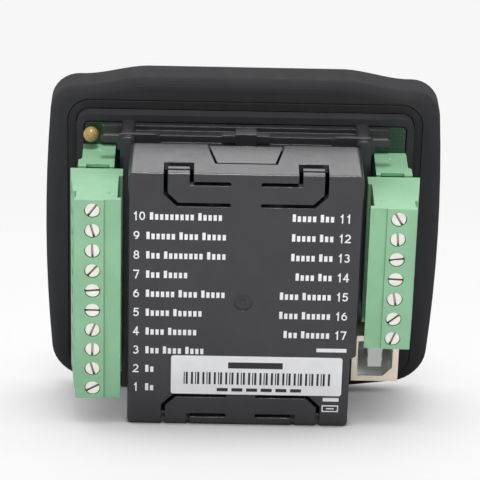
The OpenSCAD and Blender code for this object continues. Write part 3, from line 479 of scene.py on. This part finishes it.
def print_words(face_y, material):
    """Plain blocks in the place of words, and a plain socket mark for the port."""
    mesh = bmesh.new()
    for i, words in enumerate(LEFT_WORDS):
        left = -LEFT_WORD_X + (TEN_WORDS_IN if len(LEFT_WORDS) - i > 9 else 0)
        add_words(mesh, words, left, LEFT_TOP_Z - i * LEFT_PITCH)
    for i, words in enumerate(RIGHT_WORDS):
        add_words(mesh, words, -RIGHT_WORD_X - words_length(words), RIGHT_TOP_Z - i * RIGHT_PITCH)
    for middle, z, length in SMALL_LINES:
        add_bar(mesh, -middle - length / 2, z, length, SMALL_LINE_H)
    x, z = -PORT_MARK[0], PORT_MARK[1]
    width, height = PORT_MARK_SIZE
    corners = [(x + sx * width / 2, z + sz * height / 2) for sx, sz in ((-1, -1), (1, -1), (1, 1), (-1, 1))]
    add_ribbon(mesh, corners + corners[:1], MARK_LINE, closed=True)
    add_bar(mesh, x - width / 4, z, width / 2, MARK_LINE)
    finish_print(mesh, "word_blocks", face_y, material)


def print_label(face_y, material):
    """Generic print on the label: a heading bar, a row of stripes and short bars under it."""
    mesh = bmesh.new()
    x, z, length, height = HEADING
    add_bar(mesh, -x - length / 2, z, length, height)
    left, i = -STRIPES_X[0], 0
    while left < -STRIPES_X[1]:
        wide = 1 + i * i % 3
        add_bar(mesh, left, sum(STRIPES_Z) / 2, wide * STRIPE_UNIT, STRIPES_Z[0] - STRIPES_Z[1])
        left += (wide + 1 + i * 2 % 3) * STRIPE_UNIT
        i += 1
    left = -FOOT_LINE_X[0]
    while left < -FOOT_LINE_X[1]:
        add_bar(mesh, left, FOOT_LINE_Z, FOOT_LINE_W, FOOT_LINE_H)
        left += FOOT_LINE_PITCH
    finish_print(mesh, "label_print", face_y, material)


def mark_keys(material):
    """Plain marks on the keys: ring, square, arrow head and bar."""
    square = [(-0.8, -0.8), (0.8, -0.8), (0.8, 0.8), (-0.8, 0.8), (-0.8, -0.8)]
    marks = {"stop": arc(0, 0, 1, 1, 90, 450), "mode": square, "page": [(-1, 0.5), (0, -0.5), (1, 0.5)],
             "start": [(0, -1), (0, 1)]}
    for name, line in marks.items():
        low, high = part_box(name + "_key")
        middle = Vector((low.x + high.x, low.z + high.z)) / 2 / MM
        points = [middle + Vector(p) * KEY_MARK / 2 for p in line]
        mesh = bmesh.new()
        add_ribbon(mesh, points, KEY_LINE, closed=(points[0] - points[-1]).length < KEY_LINE / 10)
        finish_print(mesh, name + "_mark", low.y, material, FACING_FRONT, name + "_button")


# Stage, light and camera

# Colour of the open table, and the painted shadow colour of the table close to the part
FLOOR_RGB = (244, 244, 244)
PAINTED_SHADOW_RGB = (110, 110, 110)
# How near the part shades the table, in millimetres
SHADE_REACH = 36
# Open share of the space over the table over which its colour turns from the painted shadow to open, and its
# white comes up
PAINTED_SHADOW_OPEN = (0.4, 1.0)
OPEN_WHITE = (-0.15, 0.9)
# The same for its white where the part all but touches it, and how near that is, in millimetres
OPEN_TOUCH = (0.35, 0.65)
TOUCH_REACH = 4
# White of the surroundings and the table where they are seen
BACKDROP_WHITE = 0.93
# Share of the table that is white by itself where it is seen, so that its shadows stay soft
FLOOR_WHITE = 0.78
# From and to where, round the origin, the table turns wholly white by itself, in millimetres
WHITE_START = 90
WHITE_END = 280
# Half of the table's side, in metres, and the least and greatest tilt of the part on it, in degrees
FLOOR_HALF = 8
TILT_RANGE = (2, 30)
TILT_STEPS = 40
# Light of the surroundings, and soft lamps: name, place and size in metres, power in watts
WORLD_LIGHT = 0.42
LAMP_AIM = (0, 0.02, 0)
LAMPS = [("window", (0.0, -0.95, 0.5), (1.6, 1.0), 7.6), ("overhead", (0.0, 0.26, 0.97), (0.2, 0.26), 6.3),
         ("fill", (0.95, 0.7, 0.55), (0.8, 0.8), 2.4)]


def support(names, normal):
    """How far down those nodes reach along a normal."""
    return min(v.co.dot(normal) for n in names for v in frame["nodes"][n].data.vertices)


def floor_normal():
    """Up direction of the table on which the frame's lower edge and the cover's rear edge both rest."""
    low, high = (math.radians(tilt) for tilt in TILT_RANGE)
    for _ in range(TILT_STEPS):
        tilt = (low + high) / 2
        normal = Vector((0, -math.sin(tilt), math.cos(tilt)))
        if support(["rear_cover"], normal) < support(["front_frame"], normal):
            high = tilt
        else:
            low = tilt
    return normal


def make_floor(normal):
    """A wide pale table under the part, its colour darkened near the part as a painted shadow."""
    height = support(["front_frame", "rear_cover"], normal)
    mesh = bmesh.new()
    bmesh.ops.create_grid(mesh, x_segments=1, y_segments=1, size=FLOOR_HALF)
    data = bpy.data.meshes.new("floor")
    mesh.to_mesh(data)
    mesh.free()
    floor = bpy.data.objects.new("floor", data)
    turn = normal.to_track_quat("Z", "X").to_matrix().to_4x4()
    floor.matrix_world = Matrix.Translation(normal * height) @ turn
    bpy.context.scene.collection.objects.link(floor)
    surface = Surface("floor_white").roughness(0.6, 0.7, 30)
    white = surface.add("ShaderNodeEmission")
    white.inputs["Strength"].default_value = BACKDROP_WHITE
    mixed = surface.add("ShaderNodeMixShader")
    drift = surface.spread(surface.noise(60, 3.0), 0, 1)
    pale = surface.blend(drift, *shades(FLOOR_RGB, 0.004))
    # Painted shadow: the table's colour darkens where the part hides the space over it
    near = surface.openness(SHADE_REACH, *PAINTED_SHADOW_OPEN)
    surface.link(surface.blend(near, linear(*PAINTED_SHADOW_RGB), pale), surface.shader.inputs["Base Color"])
    away = surface.add("ShaderNodeVectorMath", operation="LENGTH")
    surface.link(surface.place, away.inputs[0])
    share = seen_rays(surface.tree)
    for part in (surface.openness(SHADE_REACH, *OPEN_WHITE), surface.openness(TOUCH_REACH, *OPEN_TOUCH),
                 surface.spread(away.outputs["Value"], FLOOR_WHITE, 1, WHITE_START * MM, WHITE_END * MM)):
        product = surface.add("ShaderNodeMath", operation="MULTIPLY")
        surface.link(share, product.inputs[0])
        surface.link(part, product.inputs[1])
        share = product.outputs[0]
    surface.link(share, mixed.inputs["Fac"])
    surface.link(surface.shader.outputs["BSDF"], mixed.inputs[1])
    surface.link(white.outputs["Emission"], mixed.inputs[2])
    surface.link(mixed.outputs["Shader"], surface.output.inputs["Surface"])
    data.materials.append(surface.material)


def seen_rays(tree):
    """One where a ray comes from the camera, a mirror or glass, and nought where it only lights."""
    path = tree.nodes.new("ShaderNodeLightPath")
    seen = path.outputs["Is Camera Ray"]
    for ray in ("Is Glossy Ray", "Is Transmission Ray"):
        either = tree.nodes.new("ShaderNodeMath")
        either.operation = "MAXIMUM"
        tree.links.new(seen, either.inputs[0])
        tree.links.new(path.outputs[ray], either.inputs[1])
        seen = either.outputs[0]
    return seen


def make_world():
    """White surroundings: full white where they are seen or mirrored, softer where they only light."""
    world = bpy.data.worlds.new("surroundings")
    bpy.context.scene.world = world
    world.use_nodes = True
    tree = world.node_tree
    strength = tree.nodes.new("ShaderNodeMapRange")
    strength.inputs["To Min"].default_value = WORLD_LIGHT
    strength.inputs["To Max"].default_value = BACKDROP_WHITE
    tree.links.new(seen_rays(tree), strength.inputs["Value"])
    background = tree.nodes["Background"]
    background.inputs["Color"].default_value = (1, 1, 1, 1)
    tree.links.new(strength.outputs["Result"], background.inputs["Strength"])


def add_lamp(name, place, size, power):
    """A rectangular soft light that looks at the part."""
    data = bpy.data.lights.new(name, "AREA")
    data.shape = "RECTANGLE"
    data.size, data.size_y = size
    data.energy = power
    lamp = bpy.data.objects.new(name, data)
    lamp.location = place
    lamp.rotation_euler = (Vector(LAMP_AIM) - Vector(place)).to_track_quat("-Z", "Y").to_euler()
    bpy.context.scene.collection.objects.link(lamp)


def make_camera():
    """The photograph's camera: from behind and above, a little rolled."""
    turn, rise, roll = (math.radians(a) for a in (CAMERA_TURN, CAMERA_RISE, CAMERA_ROLL))
    back = Vector((math.sin(turn) * math.cos(rise), math.cos(turn) * math.cos(rise), math.sin(rise)))
    right = Vector((-math.cos(turn), math.sin(turn), 0))
    up = back.cross(right)
    across = math.cos(roll) * right + math.sin(roll) * up
    upright = math.cos(roll) * up - math.sin(roll) * right
    data = bpy.data.cameras.new("camera")
    data.sensor_width = SENSOR
    data.lens = CAMERA_LENS
    data.clip_start = CLIP_NEAR * MM
    camera = bpy.data.objects.new("camera", data)
    place = (Vector(CAMERA_AIM) + CAMERA_DISTANCE * back) * MM
    camera.matrix_world = Matrix.Translation(place) @ Matrix((across, upright, back)).transposed().to_4x4()
    bpy.context.scene.collection.objects.link(camera)
    bpy.context.scene.camera = camera


materials = make_materials()
dress(materials)
rear_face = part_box("rear_cover")[1].y
print_numbers(rear_face, materials["label_white"])
print_words(rear_face, materials["label_white"])
print_label(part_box("label")[1].y, materials["part_black"])
mark_keys(materials["label_white"])

make_floor(floor_normal())
make_world()
for lamp_values in LAMPS:
    add_lamp(*lamp_values)
make_camera()
bpy.context.scene.view_settings.view_transform = "Standard"
